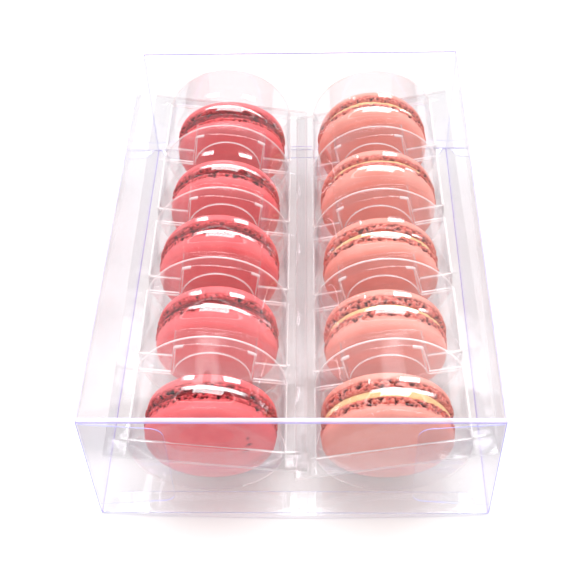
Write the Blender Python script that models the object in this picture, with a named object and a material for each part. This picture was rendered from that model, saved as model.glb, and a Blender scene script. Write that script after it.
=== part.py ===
"""Clear macaron box: a folded clear carton round two hinged trays of five macarons each.

Metres, +Z up, origin at the middle of the box's underside. The front end faces -Y, the rows run
along Y. Each end panel hangs from its top fold and tucks in over the bottom panel.
"""

from dataclasses import dataclass
from math import cos, pi, radians, sin, sqrt
from random import Random

import bmesh
import bpy
from mathutils import Matrix, Vector

MM = 0.001

# Largest angle between two faces that still shade as one curve
FILM_SMOOTH = radians(40)
TRAY_SMOOTH = radians(35)
FOOD_SMOOTH = radians(50)

# Carton
BOX_WIDTH = 120.0 * MM
BOX_LENGTH = 173.0 * MM
BOX_HEIGHT = 49.0 * MM
FILM = 0.3 * MM
GAP = 0.3 * MM
CORNER_RADIUS = 1.0 * MM
CORNER_STEPS = 3
TOP_FOLD_RADIUS = 1.1 * MM
TOP_FOLD_STEPS = 3
PANEL_BOW = 1.6 * MM
PANEL_STRIPS = 8
PANEL_FOOT_HEIGHT = 0.15 * MM
TUCK_REACH = 7.1 * MM
TUCK_SIDE_INSET = 1.5 * MM
TUCK_CORNER_RADIUS = 6.0 * MM
TUCK_CORNER_STEPS = 3
TUCK_HEIGHT = 0.75 * MM
TUCK_SLOPE = 0.07
DUST_FLAP_REACH = 24.0 * MM
DUST_FLAP_LOW = 4.5 * MM
DUST_FLAP_HIGH = 46.6 * MM
DUST_FLAP_TAPER = 2.0 * MM
DUST_FLAP_CORNER = 4.0 * MM

# Trays: two hinged halves each, with five slots; the lid is round at its front folds, the base at its
# back ones
CAVITIES = 5
PITCH = 33.1 * MM
TRAY_FRONT = 1.5 * MM
TRAY_BACK = 171.0 * MM
TRAY_WIDTH = 60.2 * MM
TRAY_FILM = 0.35 * MM
TRAY_PART_LINE = 0.15 * MM
SLOT_FRONT = 7.95 * MM
SLOT_BACK = 33.55 * MM
SLOT_HALF_WIDTH = 23.35 * MM
SLOT_FOLD = 6.5 * MM
SLOT_FOLD_STEPS = 2
SLOT_EDGE = 0.12 * MM
LID_HEIGHT = 20.0 * MM
BRIDGE_HALF_WIDTH = 12.4 * MM
BRIDGE_HEIGHT = 12.0 * MM
HALF_COLUMNS = (
    4.5 * MM,
    11.3 * MM,
    12.6 * MM,
    19.0 * MM,
    22.3 * MM,
    SLOT_HALF_WIDTH,
    SLOT_HALF_WIDTH + SLOT_EDGE,
)

# Macarons
RIM_STEPS = 18
FOOT_INSET = 0.9 * MM
SHELL_GAP = 0.3 * MM
DOME_RINGS = ((0.66, 0.95), (0.90, 0.76), (0.98, 0.34))
FOOT_JITTER = 0.35 * MM
FILLING_INSET = 1.1 * MM
FILLING_BULGE = 0.35 * MM
REST_CLEARANCE = 0.4 * MM


@dataclass(frozen=True)
class TrayPlace:
    """Where one tray lies: the middle of its flange, its roll and turn, and how deep its base is."""

    name: str
    centre_x: float
    centre_z: float
    roll: float
    turn: float
    base_depth: float


@dataclass(frozen=True)
class Macaron:
    """One macaron on edge: its sizes, its place in its slot and how far it leans back."""

    radius: float
    dome: float
    foot: float
    filling: float
    slot_y: float
    lean: float
    side_shift: float


LEFT_TRAY = TrayPlace("left", -26.3 * MM, 25.4 * MM, radians(9.2), radians(0.6), 24.0 * MM)
RIGHT_TRAY = TrayPlace("right", 28.9 * MM, 24.3 * MM, radians(-12.3), radians(0.8), 23.1 * MM)

# From the front of the box to the back
LEFT_MACARONS = (
    Macaron(20.0 * MM, 6.5 * MM, 1.6 * MM, 1.2 * MM, 17.9 * MM, radians(-4), 0.5 * MM),
    Macaron(20.0 * MM, 6.4 * MM, 1.7 * MM, 1.8 * MM, 19.2 * MM, radians(-2), 0.5 * MM),
    Macaron(20.6 * MM, 6.4 * MM, 1.6 * MM, 1.6 * MM, 17.6 * MM, radians(0), -0.4 * MM),
    Macaron(19.7 * MM, 6.2 * MM, 1.6 * MM, 1.6 * MM, 17.3 * MM, radians(2), -0.2 * MM),
    Macaron(20.6 * MM, 5.8 * MM, 1.4 * MM, 3.2 * MM, 18.5 * MM, radians(-6), 0.6 * MM),
)
RIGHT_MACARONS = (
    Macaron(20.3 * MM, 5.6 * MM, 2.8 * MM, 2.4 * MM, 18.9 * MM, radians(-4), -0.8 * MM),
    Macaron(19.9 * MM, 5.6 * MM, 2.8 * MM, 1.4 * MM, 18.2 * MM, radians(-4), -0.1 * MM),
    Macaron(19.8 * MM, 5.8 * MM, 2.4 * MM, 1.4 * MM, 18.3 * MM, radians(-5), 0.0 * MM),
    Macaron(20.8 * MM, 6.4 * MM, 1.4 * MM, 1.4 * MM, 17.4 * MM, radians(0), 0.5 * MM),
    Macaron(20.7 * MM, 6.0 * MM, 1.9 * MM, 1.6 * MM, 17.6 * MM, radians(0), -0.3 * MM),
)


def clear_scene():
    """Remove the objects of the open file."""
    for obj in list(bpy.data.objects):
        bpy.data.objects.remove(obj, do_unlink=True)


def make_material(name, color, roughness, alpha=1.0):
    """Return a Principled material with one colour."""
    material = bpy.data.materials.new(name)
    material.use_nodes = True
    shader = material.node_tree.nodes["Principled BSDF"]
    shader.inputs["Base Color"].default_value = (*color, 1.0)
    shader.inputs["Roughness"].default_value = roughness
    shader.inputs["Metallic"].default_value = 0.0
    shader.inputs["Alpha"].default_value = alpha
    return material


def add_object(name, bm, material, smooth_angle=None):
    """Turn a bmesh into a named object with its material."""
    mesh = bpy.data.meshes.new(name)
    bm.to_mesh(mesh)
    bm.free()
    mesh.materials.append(material)
    if smooth_angle is not None:
        mesh.shade_smooth()
        mesh.set_sharp_from_angle(angle=smooth_angle)
    obj = bpy.data.objects.new(name, mesh)
    bpy.context.scene.collection.objects.link(obj)
    return obj


def arc(centre, radius, start, end, steps):
    """Return points on an arc as (u, v) pairs, both ends included."""
    angles = [start + (end - start) * i / steps for i in range(steps + 1)]
    return [(centre[0] + radius * cos(a), centre[1] + radius * sin(a)) for a in angles]


def rounded_rectangle(half_width, low, high, radius):
    """Return the corner points of a rounded rectangle in (x, z), turning left."""
    corners = (
        ((half_width - radius, low + radius), -pi / 2),
        ((half_width - radius, high - radius), 0.0),
        ((-half_width + radius, high - radius), pi / 2),
        ((-half_width + radius, low + radius), pi),
    )
    points = []
    for centre, start in corners:
        points += arc(centre, radius, start, start + pi / 2, CORNER_STEPS)
    return points


def sleeve_end_inset(height):
    """The top panel starts behind the end panel's fold, the other panels just inside it."""
    if height > BOX_HEIGHT - TOP_FOLD_RADIUS:
        return TOP_FOLD_RADIUS + GAP
    return FILM + GAP


def build_sleeve(material):
    """Make the folded tube of top, bottom and side panels."""
    outer = rounded_rectangle(BOX_WIDTH / 2, 0.0, BOX_HEIGHT, CORNER_RADIUS)
    inner = rounded_rectangle(BOX_WIDTH / 2 - FILM, FILM, BOX_HEIGHT - FILM, CORNER_RADIUS - FILM)
    bm = bmesh.new()
    rings = []
    for end in (-1, 1):
        for outline in (outer, inner):
            ring = []
            for (x, z), (_, outer_z) in zip(outline, outer):
                y = end * (BOX_LENGTH / 2 - sleeve_end_inset(outer_z))
                ring.append(bm.verts.new((x, y, z)))
            rings.append(ring)
    front_outer, front_inner, back_outer, back_inner = rings
    count = len(outer)
    for i in range(count):
        j = (i + 1) % count
        bm.faces.new((front_outer[i], front_outer[j], back_outer[j], back_outer[i]))
        bm.faces.new((front_inner[j], front_inner[i], back_inner[i], back_inner[j]))
        bm.faces.new((front_outer[j], front_outer[i], front_inner[i], front_inner[j]))
        bm.faces.new((back_outer[i], back_outer[j], back_inner[j], back_inner[i]))
    bmesh.ops.recalc_face_normals(bm, faces=bm.faces)
    return add_object("carton_sleeve", bm, material, FILM_SMOOTH)


def panel_bow(x):
    """How far the end panel's foot stands forward of the box, at this place across it."""
    return PANEL_BOW * (1.0 - (x / (BOX_WIDTH / 2)) ** 2)


def end_panel_profile(x, inset):
    """Points of the end panel from its top fold to its foot, as (depth, height) pairs."""
    fold_centre = (TOP_FOLD_RADIUS, BOX_HEIGHT - TOP_FOLD_RADIUS)
    points = arc(fold_centre, TOP_FOLD_RADIUS - inset, pi / 2, pi, TOP_FOLD_STEPS)
    points.append((inset - panel_bow(x), PANEL_FOOT_HEIGHT))
    return points


def build_end_panel(name, turn, material):
    """Make the hanging end panel with its rounded top fold and bowed foot."""
    bm = bmesh.new()
    half = BOX_WIDTH / 2 - GAP
    outer, inner = [], []
    for i in range(PANEL_STRIPS + 1):
        x = -half + 2 * half * i / PANEL_STRIPS
        for columns, inset in ((outer, 0.0), (inner, FILM)):
            profile = end_panel_profile(x, inset)
            columns.append([bm.verts.new((x, y - BOX_LENGTH / 2, z)) for y, z in profile])
    rows = len(outer[0])
    for i in range(PANEL_STRIPS):
        for j in range(rows - 1):
            bm.faces.new((outer[i][j], outer[i][j + 1], outer[i + 1][j + 1], outer[i + 1][j]))
            bm.faces.new((inner[i][j], inner[i + 1][j], inner[i + 1][j + 1], inner[i][j + 1]))
        bm.faces.new((outer[i][0], outer[i + 1][0], inner[i + 1][0], inner[i][0]))
        bm.faces.new((outer[i][-1], inner[i][-1], inner[i + 1][-1], outer[i + 1][-1]))
    for i in (0, PANEL_STRIPS):
        for j in range(rows - 1):
            bm.faces.new((outer[i][j], inner[i][j], inner[i][j + 1], outer[i][j + 1]))
    bmesh.ops.recalc_face_normals(bm, faces=bm.faces)
    return place_at_end(add_object(name, bm, material, FILM_SMOOTH), turn)


def place_at_end(obj, turn):
    """Move an end's piece to its hinge, and turn it to the back end if asked."""
    hinge = Vector((0.0, TOP_FOLD_RADIUS + GAP / 2 - BOX_LENGTH / 2, BOX_HEIGHT))
    obj.data.transform(Matrix.Translation(-hinge))
    obj.matrix_world = Matrix.Rotation(turn, 4, "Z") @ Matrix.Translation(hinge)
    return obj


def extrude_outline(bm, outline, thickness):
    """Close a flat outline of 3-D points into a sheet of this thickness vector."""
    bottom = [bm.verts.new(p) for p in outline]
    top = [bm.verts.new(Vector(p) + thickness) for p in outline]
    bm.faces.new(bottom)
    bm.faces.new(top)
    count = len(outline)
    for i in range(count):
        j = (i + 1) % count
        bm.faces.new((bottom[i], bottom[j], top[j], top[i]))
    bmesh.ops.recalc_face_normals(bm, faces=bm.faces)


def build_tuck_flap(name, turn, material):
    """Make the tuck flap that lies inside on the bottom panel."""
    half = BOX_WIDTH / 2 - TUCK_SIDE_INSET
    outline = []
    for i in range(PANEL_STRIPS + 1):
        x = -half + 2 * half * i / PANEL_STRIPS
        outline.append((x, FILM + GAP - panel_bow(x)))
    corner = TUCK_CORNER_RADIUS
    right = (half - corner, TUCK_REACH - corner)
    outline += arc(right, corner, 0.0, pi / 2, TUCK_CORNER_STEPS)
    left = (-half + corner, TUCK_REACH - corner)
    outline += arc(left, corner, pi / 2, pi, TUCK_CORNER_STEPS)
    bm = bmesh.new()
    points = []
    for x, y in outline:
        height = TUCK_HEIGHT + TUCK_SLOPE * (y + PANEL_BOW)
        points.append((x, y - BOX_LENGTH / 2, height))
    extrude_outline(bm, points, Vector((0.0, 0.0, FILM)))
    return place_at_end(add_object(name, bm, material), turn)


def build_dust_flap(name, side, end, material):
    """Make one dust flap, which folds in from a side panel behind the end panel."""
    near = BOX_WIDTH / 2 - FILM - GAP
    far = BOX_WIDTH / 2 - DUST_FLAP_REACH
    corner = DUST_FLAP_CORNER
    high = DUST_FLAP_HIGH - DUST_FLAP_TAPER
    low = DUST_FLAP_LOW + DUST_FLAP_TAPER
    outline = [(near, DUST_FLAP_LOW), (near, DUST_FLAP_HIGH)]
    outline += arc((far + corner, high - corner), corner, pi / 2, pi, CORNER_STEPS)
    outline += arc((far + corner, low + corner), corner, pi, 1.5 * pi, CORNER_STEPS)
    front = -BOX_LENGTH / 2 + FILM + GAP
    bm = bmesh.new()
    points = [(side * x, -end * front, z) for x, z in outline]
    extrude_outline(bm, points, Vector((0.0, -end * FILM, 0.0)))
    return add_object(name, bm, material)


def wall_radius(height):
    """Radius of a slot's round wall; a slot deeper than its half width starts with a straight part."""
    if height > SLOT_HALF_WIDTH:
        return SLOT_HALF_WIDTH
    return (SLOT_HALF_WIDTH**2 + height**2) / (2 * height)


def wall_height(x, height):
    """Height of a slot's wall from the flange, at this place across it."""
    if abs(x) > SLOT_HALF_WIDTH:
        return 0.0
    radius = wall_radius(height)
    return max(0.0, sqrt(max(0.0, radius**2 - x**2)) - (radius - height))


def bridge_height(x):
    """Height of the raised bridge that joins one lid dome to the next."""
    return BRIDGE_HEIGHT if abs(x) < BRIDGE_HALF_WIDTH else 0.0


def lid_column(x, crown_height):
    """Points of the lid along the tray at one place across it, as (y, z) pairs."""
    crown = wall_height(x, crown_height)
    fold = min(SLOT_FOLD, crown)
    shoulder = crown - fold
    bridge = min(bridge_height(x), shoulder)
    points = [(TRAY_FRONT, 0.0)]
    for k in range(CAVITIES):
        front = SLOT_FRONT + k * PITCH
        back = SLOT_BACK + k * PITCH
        points.append((front, 0.0 if k == 0 else bridge))
        points += arc((front + fold, shoulder), fold, pi, pi / 2, SLOT_FOLD_STEPS)
        points += [(back, crown), (back, 0.0 if k == CAVITIES - 1 else bridge)]
    points.append((TRAY_BACK, 0.0))
    return points


def base_column(x, floor_depth):
    """Points of the base along the tray at one place across it, as (y, z) pairs."""
    depth = wall_height(x, floor_depth)
    fold = min(SLOT_FOLD, depth)
    points = [(TRAY_FRONT, 0.0)]
    for k in range(CAVITIES):
        front = SLOT_FRONT + k * PITCH
        back = SLOT_BACK + k * PITCH
        points += [(front, 0.0), (front, -depth)]
        points += arc((back - fold, fold - depth), fold, -pi / 2, 0.0, SLOT_FOLD_STEPS)
        points.append((back, 0.0))
    points.append((TRAY_BACK, 0.0))
    return points


def tray_turn(place):
    """How a tray lies in the carton: turned a little, then rolled about its own length."""
    return Matrix.Rotation(place.turn, 4, "Z") @ Matrix.Rotation(place.roll, 4, "Y")


def build_tray_half(place, half_name, column, height, side, material):
    """Make one half of a tray as a thin sheet, thickened away from the macarons."""
    half_width = TRAY_WIDTH / 2
    right = list(HALF_COLUMNS) + [half_width]
    places = [-x for x in reversed(right)] + right
    bm = bmesh.new()
    grid = []
    for x in places:
        grid.append([bm.verts.new((x, y, z)) for y, z in column(x, height)])
    for left_line, right_line in zip(grid, grid[1:]):
        for i in range(len(left_line) - 1):
            corners = (left_line[i], right_line[i], right_line[i + 1], left_line[i + 1])
            bm.faces.new(corners if side > 0 else reversed(corners))
    bmesh.ops.remove_doubles(bm, verts=bm.verts, dist=0.01 * MM)
    obj = add_object(f"{place.name}_tray_{half_name}", bm, material, TRAY_SMOOTH)
    wall = obj.modifiers.new("Wall", "SOLIDIFY")
    wall.thickness = TRAY_FILM
    wall.offset = 1.0
    wall.use_even_offset = True
    wall.use_quality_normals = True
    lift = Matrix.Translation((0.0, -BOX_LENGTH / 2, side * TRAY_PART_LINE))
    spot = Matrix.Translation((place.centre_x, 0.0, place.centre_z))
    obj.matrix_world = spot @ tray_turn(place) @ lift
    return obj


def add_ring(bm, radius_at, height):
    """Add one ring of points round the macaron's axis."""
    ring = []
    for i in range(RIM_STEPS):
        angle = 2 * pi * i / RIM_STEPS
        radius = radius_at(i)
        ring.append(bm.verts.new((radius * cos(angle), radius * sin(angle), height)))
    return ring


def join_rings(bm, lower, upper):
    """Join two rings of points with a band of faces."""
    for i in range(RIM_STEPS):
        j = (i + 1) % RIM_STEPS
        bm.faces.new((lower[i], lower[j], upper[j], upper[i]))


def build_shell(name, macaron, facing, draw, material):
    """Make one shell: a low dome on a ruffled foot, flat against the filling."""
    start = macaron.filling / 2 + SHELL_GAP
    ruffle = [draw.uniform(-1.0, 1.0) * FOOT_JITTER for _ in range(RIM_STEPS)]
    radius = macaron.radius
    bm = bmesh.new()
    flat = add_ring(bm, lambda i: radius - FOOT_INSET + ruffle[i] / 2, facing * start)
    frill = add_ring(bm, lambda i: radius + ruffle[i] - FOOT_JITTER, facing * (start + macaron.foot / 2))
    rings = [flat, frill]
    dome_start = start + macaron.foot
    for share, rise in reversed(DOME_RINGS):
        height = facing * (dome_start + rise * macaron.dome)
        rings.append(add_ring(bm, lambda i, share=share: radius * share, height))
    bm.faces.new(flat)
    for lower, upper in zip(rings, rings[1:]):
        join_rings(bm, lower, upper)
    pole = bm.verts.new((0.0, 0.0, facing * (dome_start + macaron.dome)))
    last = rings[-1]
    for i in range(RIM_STEPS):
        bm.faces.new((last[i], last[(i + 1) % RIM_STEPS], pole))
    bmesh.ops.recalc_face_normals(bm, faces=bm.faces)
    return add_object(name, bm, material, FOOD_SMOOTH)


def build_filling(name, macaron, draw, material):
    """Make the round of filling that shows between the shells."""
    wave = [draw.uniform(-1.0, 1.0) * FILLING_BULGE for _ in range(RIM_STEPS)]
    radius = macaron.radius - FILLING_INSET
    bm = bmesh.new()
    low = add_ring(bm, lambda i: radius - FILLING_BULGE, -macaron.filling / 2)
    middle = add_ring(bm, lambda i: radius + wave[i], 0.0)
    high = add_ring(bm, lambda i: radius - FILLING_BULGE, macaron.filling / 2)
    bm.faces.new(low)
    bm.faces.new(high)
    join_rings(bm, low, middle)
    join_rings(bm, middle, high)
    bmesh.ops.recalc_face_normals(bm, faces=bm.faces)
    return add_object(name, bm, material, FOOD_SMOOTH)


def resting_height(macaron, place):
    """Height of a macaron's middle where its rim rests on the slot's round floor."""
    radius = wall_radius(place.base_depth)
    lift = radius - place.base_depth - TRAY_PART_LINE
    off_middle = macaron.side_shift - lift * sin(place.roll)
    play = radius - REST_CLEARANCE - macaron.radius
    return place.centre_z + lift * cos(place.roll) - sqrt(play**2 - off_middle**2)


def build_macaron(name, macaron, place, slot, seed, shell_material, filling_material):
    """Make one macaron and stand it on edge in its slot, front shell towards -Y."""
    draw = Random(seed)
    pieces = [
        build_shell(f"{name}_front_shell", macaron, 1, draw, shell_material),
        build_filling(f"{name}_filling", macaron, draw, filling_material),
        build_shell(f"{name}_back_shell", macaron, -1, draw, shell_material),
    ]
    along = macaron.slot_y + slot * PITCH - BOX_LENGTH / 2
    in_tray = Vector((macaron.side_shift, along, resting_height(macaron, place)))
    tray_yaw = Matrix.Rotation(place.turn, 4, "Z")
    centre = Vector((place.centre_x, 0.0, 0.0)) + tray_yaw @ in_tray
    turn = tray_yaw @ Matrix.Rotation(pi / 2 - macaron.lean, 4, "X")
    for piece in pieces:
        piece.matrix_world = Matrix.Translation(centre) @ turn


def build_tray(place, material):
    """Make the base and the lid of one tray."""
    build_tray_half(place, "base", base_column, place.base_depth, -1, material)
    build_tray_half(place, "lid", lid_column, LID_HEIGHT, 1, material)


def build_carton(material):
    """Make the sleeve, both end panels with their tuck flaps, and the four dust flaps."""
    build_sleeve(material)
    for end_name, end, turn in (("front", -1, 0.0), ("back", 1, pi)):
        build_end_panel(f"{end_name}_panel", turn, material)
        build_tuck_flap(f"{end_name}_tuck_flap", turn, material)
        for side_name, side in (("left", -1), ("right", 1)):
            build_dust_flap(f"{end_name}_{side_name}_dust_flap", side, end, material)


def main():
    """Build the whole box."""
    clear_scene()
    carton_film = make_material("carton_film", (0.90, 0.91, 0.97), 0.05, 0.18)
    tray_film = make_material("tray_film", (0.93, 0.93, 0.94), 0.08, 0.22)
    red_shell = make_material("red_shell", (0.80, 0.17, 0.20), 0.65)
    pink_shell = make_material("pink_shell", (0.86, 0.38, 0.32), 0.65)
    dark_filling = make_material("dark_filling", (0.32, 0.04, 0.06), 0.45)
    cream_filling = make_material("cream_filling", (0.86, 0.66, 0.36), 0.45)
    build_carton(carton_film)
    rows = (
        (LEFT_TRAY, LEFT_MACARONS, red_shell, dark_filling),
        (RIGHT_TRAY, RIGHT_MACARONS, pink_shell, cream_filling),
    )
    for place, macarons, shell, filling in rows:
        build_tray(place, tray_film)
        for slot, macaron in enumerate(macarons):
            name = f"{place.name}_macaron_{slot + 1}"
            build_macaron(name, macaron, place, slot, 10 * (slot + 1) + len(name), shell, filling)


main()
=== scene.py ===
"""Looks of the clear macaron box: film carton, hinged clear trays and macarons standing on edge.

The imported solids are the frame. Each piece here replaces the solid that it follows and rides on its
body, and the marks of the perforation are added. Metres, +Z up, the front end of the box faces -Y.
"""

from __future__ import annotations

import logging
from collections.abc import Iterator, Sequence
from dataclasses import dataclass, replace
from enum import Enum, IntEnum
from math import asin, cos, pi, radians, sin, sqrt, tan

import bmesh
import bpy
import numpy as np
from bmesh.types import BMesh, BMVert
from bpy.types import Material, Mesh, Node, NodeSocket, NodeTree, Object
from mathutils import Euler, Matrix, Vector, noise

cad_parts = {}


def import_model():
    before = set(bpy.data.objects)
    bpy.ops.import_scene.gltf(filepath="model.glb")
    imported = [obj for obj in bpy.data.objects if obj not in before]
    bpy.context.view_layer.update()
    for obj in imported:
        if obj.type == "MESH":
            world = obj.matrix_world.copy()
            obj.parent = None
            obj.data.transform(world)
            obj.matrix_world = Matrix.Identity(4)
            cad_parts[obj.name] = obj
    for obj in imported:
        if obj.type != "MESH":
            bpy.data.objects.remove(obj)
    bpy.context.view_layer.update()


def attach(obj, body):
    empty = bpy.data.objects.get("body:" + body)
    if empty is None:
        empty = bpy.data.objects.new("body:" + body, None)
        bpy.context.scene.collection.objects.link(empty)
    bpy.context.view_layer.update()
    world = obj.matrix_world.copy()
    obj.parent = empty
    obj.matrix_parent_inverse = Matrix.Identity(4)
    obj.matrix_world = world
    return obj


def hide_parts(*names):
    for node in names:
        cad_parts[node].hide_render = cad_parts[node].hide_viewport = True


LOG = logging.getLogger("macaron_box")
MM = 0.001

Color = tuple[float, float, float]
Point2 = tuple[float, float]
Range4 = tuple[float, float, float, float]


class Named(Enum):
    """A choice with its word in the nodes' names."""

    @property
    def word(self) -> str:
        """The word in the nodes' names."""
        return self.name.lower()


class End(Named):
    """The two ends of the carton: the sign of their Y."""

    FRONT = -1
    BACK = 1


class Side(Named):
    """The two sides of the carton: the sign of their X."""

    LEFT = -1
    RIGHT = 1


class TrayHalf(Named):
    """The two halves of a tray: the sign of the way they bulge."""

    BASE = -1
    LID = 1


class Facing(Named):
    """The two shells of a macaron: the sign of the way each dome faces along its axis."""

    FRONT = 1
    BACK = -1


class CartonSlot(IntEnum):
    """The carton's material slots."""

    FILM = 0
    CUT_EDGE = 1
    # The upper part of each end panel's fold, drawn with a painted white-pink highlight.
    GLOW = 2
    CREASE = 3


class TraySlot(IntEnum):
    """A tray's material slots."""

    FILM = 0
    # Cut edges of a tray, drawn with a painted highlight.
    CUT_EDGE = 1
    # Sharp folds of a tray, drawn with painted highlight lines.
    CREASE = 2


@dataclass(frozen=True)
class Grain:
    """A noise pattern, in cycles a metre: its detail, its roughness and the range that shows."""

    scale: float
    detail: float = 2.0
    roughness: float = 0.5
    shows: Point2 = (0.0, 1.0)


class NodeGraph:
    """A node tree of shaders, with short calls for adding and joining nodes."""

    def __init__(self, tree: NodeTree) -> None:
        """Empty the tree.

        Args:
            tree: The node tree.
        """
        self.tree = tree
        self.tree.nodes.clear()

    def feed(self, socket: NodeSocket, value: object) -> None:
        """Set an input, or join it to the socket or the node that feeds it. A colour gets its alpha."""
        if isinstance(value, Node):
            value = value.outputs[0]
        if isinstance(value, NodeSocket):
            self.tree.links.new(value, socket)
        elif socket.type == "RGBA":
            socket.default_value = (*value, 1.0)
        else:
            socket.default_value = value

    def add(self, kind: str, inputs: dict | None = None, **settings: object) -> Node:
        """Add a node.

        Args:
            kind: The node's type after "ShaderNode".
            inputs: Socket names or numbers, each with what goes in.
            settings: The node's own settings.

        Returns:
            The node.
        """
        node = self.tree.nodes.new(f"ShaderNode{kind}")
        for name, value in settings.items():
            setattr(node, name, value)
        for name, value in (inputs or {}).items():
            self.feed(node.inputs[name], value)
        return node

    def math(self, operation: str, *values: object, clamp: bool = False) -> NodeSocket:
        """Add a Math node.

        Args:
            operation: The node's operation.
            values: Numbers or sockets for its inputs, in order.
            clamp: Whether the result is held between 0 and 1.

        Returns:
            Its result.
        """
        inputs = dict(enumerate(values))
        return self.add("Math", inputs, operation=operation, use_clamp=clamp).outputs[0]

    def place(self) -> NodeSocket:
        """Return Object coordinates in metres."""
        return self.add("Mapping", {"Vector": self.add("TexCoord").outputs["Object"]}).outputs["Vector"]

    def bump(self, height: NodeSocket, strength: float, depth: float) -> Node:
        """Return a bump of a height from 0 to 1, this deep in metres."""
        return self.add("Bump", {"Height": height, "Strength": strength, "Distance": depth})

    def noise(self, grain: Grain) -> NodeSocket:
        """Return the value of a noise pattern."""
        inputs = {"Vector": self.place(), "Scale": grain.scale}
        inputs |= {"Detail": grain.detail, "Roughness": grain.roughness}
        return self.add("TexNoise", inputs).outputs[0]

    def shown(self, grain: Grain) -> NodeSocket:
        """Return the part of a noise pattern that shows, from 0 to 1."""
        return self.ramp(self.noise(grain), *grain.shows)

    def ramp(
        self, value: object, low: float, high: float, to_low: float = 0.0, to_high: float = 1.0
    ) -> NodeSocket:
        """Return a value stretched from one range to another, and held there."""
        inputs = {"Value": value, "From Min": low, "From Max": high, "To Min": to_low, "To Max": to_high}
        return self.add("MapRange", inputs).outputs["Result"]

    def blend(self, share: NodeSocket, first: object, second: object) -> NodeSocket:
        """Return a blend of two colours, each a colour or a socket."""
        inputs = {"Factor": share, 6: first, 7: second}
        return self.add("Mix", inputs, data_type="RGBA").outputs[2]

    def axis(self, way: object, name: str) -> NodeSocket:
        """Return one axis of a vector."""
        return self.add("SeparateXYZ", {0: way}).outputs[name]


class ShaderGraph(NodeGraph):
    """A new material's node tree."""

    def __init__(self, name: str) -> None:
        """Start a material.

        Args:
            name: The material's name.
        """
        self.material = bpy.data.materials.new(name)
        self.material.use_nodes = True
        super().__init__(self.material.node_tree)
        self.output = self.add("OutputMaterial")

    def finish(self, shader: Node) -> Material:
        """Show a shader and return the material."""
        self.feed(self.output.inputs["Surface"], shader)
        return self.material


@dataclass(frozen=True)
class Finish:
    """A finish of the box, made by its own nodes."""

    name: str

    def build(self) -> Material:
        """Return the material."""
        graph = ShaderGraph(self.name)
        return graph.finish(self.shader(graph))

    def shader(self, graph: ShaderGraph) -> Node:
        """Add the finish's nodes and return its shader."""
        raise NotImplementedError


@dataclass(frozen=True)
class FilmFinish(Finish):
    """Clear film: it shows what is behind it, mirrors the studio and looks thicker at a slant."""

    tint: Color
    slant_tint: Color
    head_on: float
    head_on_wall: float
    head_on_front_wall: float
    roughness: float
    wave_size: float
    wave_height: float
    front_walls: Point2 = (-78.0 * MM, -77.0 * MM)
    wall_steepness: Point2 = (0.25, 0.55)
    mirror_color: Color = (0.97, 0.97, 0.98)
    mirror_power: float = 5.0
    thickness_power: float = 3.0

    def shader(self, graph: ShaderGraph) -> Node:
        """Add the nodes and return the shader."""
        bump = graph.bump(graph.noise(Grain(1.0 / self.wave_size, 1.0)), 1.0, self.wave_height)
        slant = graph.add("LayerWeight", {"Blend": 0.5}).outputs["Facing"]
        path = graph.add("LightPath").outputs
        seen = graph.math("SUBTRACT", 1.0, path["Is Shadow Ray"])
        seen = graph.math("SUBTRACT", seen, path["Is Diffuse Ray"], clamp=True)
        along = graph.axis(graph.place(), "Y")
        wall = graph.ramp(along, *self.front_walls, self.head_on_front_wall, self.head_on_wall)
        up = graph.axis(graph.add("NewGeometry").outputs["True Normal"], "Z")
        steep = graph.ramp(graph.math("ABSOLUTE", up), *self.wall_steepness, 1.0, 0.0)
        head_on = graph.math("MULTIPLY_ADD", graph.math("SUBTRACT", wall, self.head_on), steep, self.head_on)
        mirrored = graph.math("POWER", slant, self.mirror_power)
        share = graph.math("MULTIPLY_ADD", mirrored, 1.0 - self.head_on, head_on)
        share = graph.math("MULTIPLY", share, seen)
        thickness = graph.math("MULTIPLY", graph.math("POWER", slant, self.thickness_power), seen)
        tint = graph.blend(thickness, self.tint, self.slant_tint)
        tint = graph.blend(seen, (1.0, 1.0, 1.0), tint)
        clear = graph.add("BsdfTransparent", {"Color": tint})
        looks = {"Base Color": self.mirror_color, "Metallic": 1.0, "Roughness": self.roughness}
        mirror = graph.add("BsdfPrincipled", looks | {"Normal": bump})
        return graph.add("MixShader", {0: share, 1: clear, 2: mirror})


@dataclass(frozen=True)
class EdgeFinish(Finish):
    """A cut edge or a crease of film, drawn as a half-opaque strip: the lavender ones show the film's own
    tint, and the white and pale pink ones are a painted highlight.
    """

    color: Color
    strength: float
    uneven_size: float
    faint_share: float = 0.7
    uneven_range: Point2 = (0.3, 0.7)
    roughness: float = 0.25
    specular: float = 0.6

    def shader(self, graph: ShaderGraph) -> Node:
        """Add the nodes and return the shader."""
        uneven = graph.noise(Grain(1.0 / self.uneven_size))
        share = graph.ramp(uneven, *self.uneven_range, self.strength * self.faint_share, self.strength)
        clear = graph.add("BsdfTransparent")
        looks = {"Base Color": self.color, "Roughness": self.roughness, "Specular IOR Level": self.specular}
        body = graph.add("BsdfPrincipled", looks)
        return graph.add("MixShader", {0: share, 1: clear, 2: body})


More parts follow.
